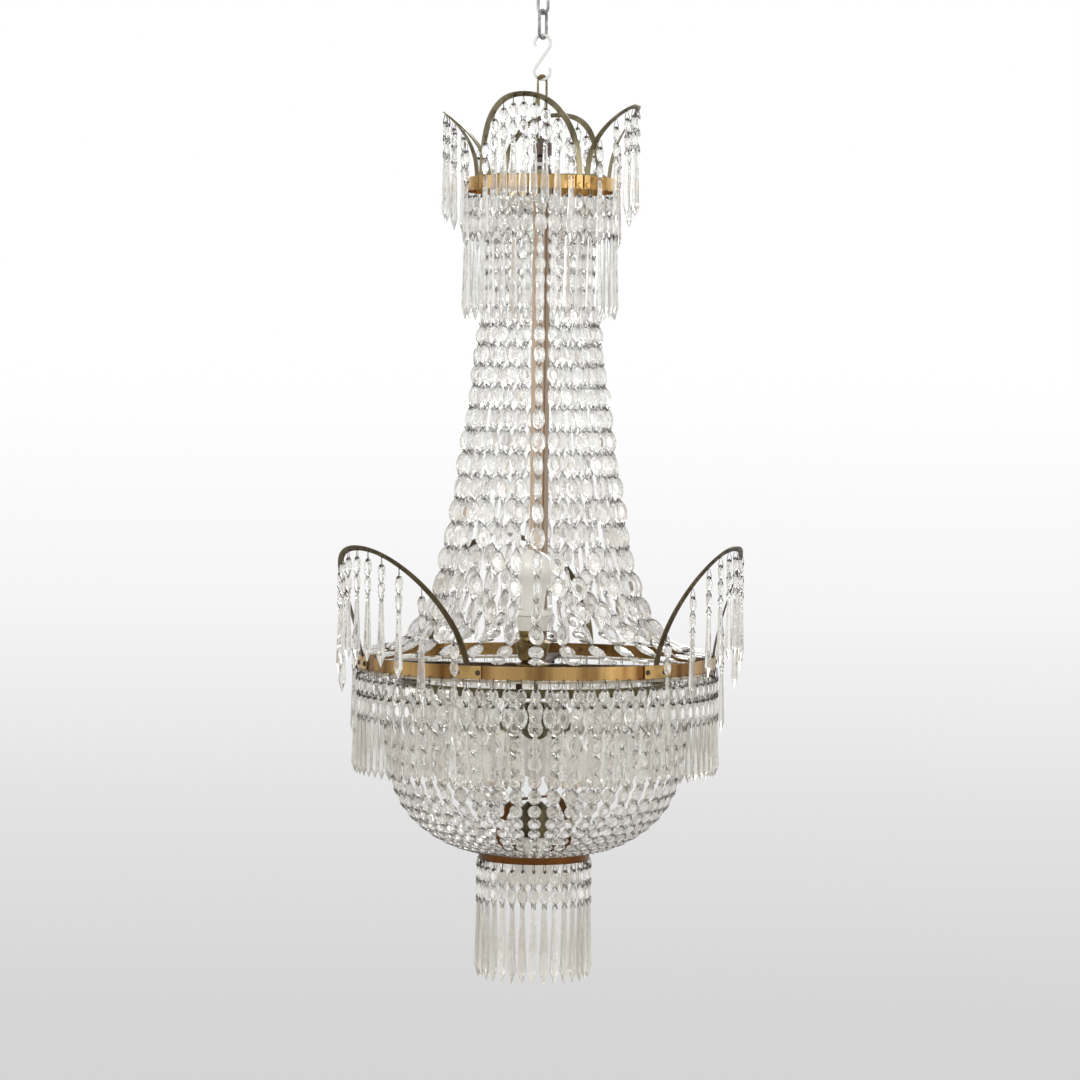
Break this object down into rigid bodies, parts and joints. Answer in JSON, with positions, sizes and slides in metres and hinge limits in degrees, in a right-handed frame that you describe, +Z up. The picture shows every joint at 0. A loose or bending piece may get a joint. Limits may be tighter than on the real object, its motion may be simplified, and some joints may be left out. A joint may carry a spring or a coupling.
{
  "type": "crystal chandelier",
  "caption": "Hanging chandelier with a crystal tent over a brass ring, a crystal bowl below, hoop arches hung with icicle drops, a crown, and milky bulbs inside.",
  "frame": {"origin": "inner top of the top chain link, where the ceiling hook bears", "axes": "+Z up along the chandelier's axis, the side seen in the picture faces -Y, +X to its right"},
  "size_m": [0.4596, 0.4652, 1.1683],
  "materials": {
    "zinc_chain": "satin",
    "white_enamel": "gloss",
    "dark_bronze": "satin",
    "brown_knob": "gloss",
    "dark_steel": "satin",
    "beige_stem": "satin",
    "brown_lead": "matte",
    "golden_brass": "satin",
    "bright_brass": "satin",
    "brown_brass": "satin",
    "strand_wire": "satin",
    "bronze_strap": "satin",
    "olive_brass": "satin",
    "turned_brass": "polished",
    "white_cup": "gloss",
    "milky_glass": "satin",
    "cap_metal": "satin",
    "crystal": "polished"
  },
  "bodies": {
    "top_link": {"chain_link_1": "zinc_chain"},
    "second_link": {"chain_link_2": "zinc_chain"},
    "third_link": {"chain_link_3": "zinc_chain"},
    "hook": {"s_hook": "white_enamel"},
    "icicle_1": {"loose_icicle_1": "crystal"},
    "icicle_2": {"loose_icicle_2": "crystal"},
    "icicle_3": {"loose_icicle_3": "crystal"},
    "icicle_4": {"loose_icicle_4": "crystal"},
    "icicle_5": {"loose_icicle_5": "crystal"},
    "icicle_6": {"loose_icicle_6": "crystal"},
    "chandelier": {"bottom_bracket": "brown_brass", "bottom_bulb": "milky_glass", "bottom_fringe_icicles": "crystal", "bottom_fringe_ovals": "crystal", "bottom_lampholder": "olive_brass", "bottom_ring": "brown_brass", "bowl_strands_left": "crystal", "bowl_strands_right": "crystal", "bulb_caps": "cap_metal", "candle_cup": "white_cup", "centre_rod": "dark_steel", "crown_arch_1": "bronze_strap", "crown_arch_2": "bronze_strap", "crown_arch_3": "bronze_strap", "crown_arch_4": "bronze_strap", "crown_arch_drops": "crystal", "crown_fringe_icicles": "crystal", "crown_fringe_ovals": "crystal", "crown_ring": "bright_brass", "crown_rivets": "bright_brass", "crown_spider": "dark_bronze", "flex_lead": "brown_lead", "hanging_stirrup": "dark_bronze", "lamp_hub": "dark_steel", "lamp_ring": "olive_brass", "lamp_ring_hangers": "dark_bronze", "lamp_vase": "turned_brass", "low_bulbs": "milky_glass", "low_lampholders": "olive_brass", "main_arch_back": "bronze_strap", "main_arch_back_drops": "crystal", "main_arch_left": "bronze_strap", "main_arch_left_drops": "crystal", "main_arch_right": "bronze_strap", "main_arch_right_drops": "crystal", "main_fringe_icicles": "crystal", "main_fringe_ovals": "crystal", "main_ring": "golden_brass", "main_rivets": "dark_bronze", "main_spider": "dark_bronze", "rod_nuts": "dark_steel", "stem_tube": "beige_stem", "strand_ring": "strand_wire", "tent_ring": "strand_wire", "tent_strands_left": "crystal", "tent_strands_right": "crystal", "top_knob": "brown_knob", "upper_bulb": "milky_glass", "upper_lampholder": "olive_brass"}
  },
  "joints": [
    {"name": "second_link_swing", "type": "hinge", "parent": "top_link", "child": "second_link", "pos_m": [0, 0, -0.03035], "axis": [0.5736, 0.8192, 0], "range_deg": [-20, 20]},
    {"name": "third_link_swing", "type": "hinge", "parent": "second_link", "child": "third_link", "pos_m": [0, 0, -0.05865], "axis": [-0.8192, 0.5736, 0], "range_deg": [-20, 20]},
    {"name": "hook_swing", "type": "hinge", "parent": "third_link", "child": "hook", "pos_m": [0, 0, -0.08695], "axis": [0.5736, 0.8192, 0], "range_deg": [-20, 20]},
    {"name": "chandelier_swing", "type": "hinge", "parent": "hook", "child": "chandelier", "pos_m": [0, 0, -0.13365], "axis": [1, 0, 0], "range_deg": [-15, 15]},
    {"name": "icicle_1_swing", "type": "hinge", "parent": "chandelier", "child": "icicle_1", "pos_m": [0.03093, -0.20518, -0.8618], "axis": [0.9888, 0.149, 0], "range_deg": [-35, 20]},
    {"name": "icicle_2_swing", "type": "hinge", "parent": "chandelier", "child": "icicle_2", "pos_m": [0.16223, -0.12937, -0.8618], "axis": [0.6235, 0.7818, 0], "range_deg": [-35, 20]},
    {"name": "icicle_3_swing", "type": "hinge", "parent": "chandelier", "child": "icicle_3", "pos_m": [0.2023, 0.04617, -0.8618], "axis": [-0.2225, 0.9749, 0], "range_deg": [-35, 20]},
    {"name": "icicle_4_swing", "type": "hinge", "parent": "chandelier", "child": "icicle_4", "pos_m": [0.11689, 0.17144, -0.8618], "axis": [-0.8262, 0.5633, 0], "range_deg": [-35, 20]},
    {"name": "icicle_5_swing", "type": "hinge", "parent": "chandelier", "child": "icicle_5", "pos_m": [-0.14114, 0.15211, -0.8618], "axis": [-0.7331, -0.6802, 0], "range_deg": [-35, 20]},
    {"name": "icicle_6_swing", "type": "hinge", "parent": "chandelier", "child": "icicle_6", "pos_m": [-0.20692, -0.01551, -0.8618], "axis": [0.0747, -0.9972, 0], "range_deg": [-35, 20]}
  ]
}
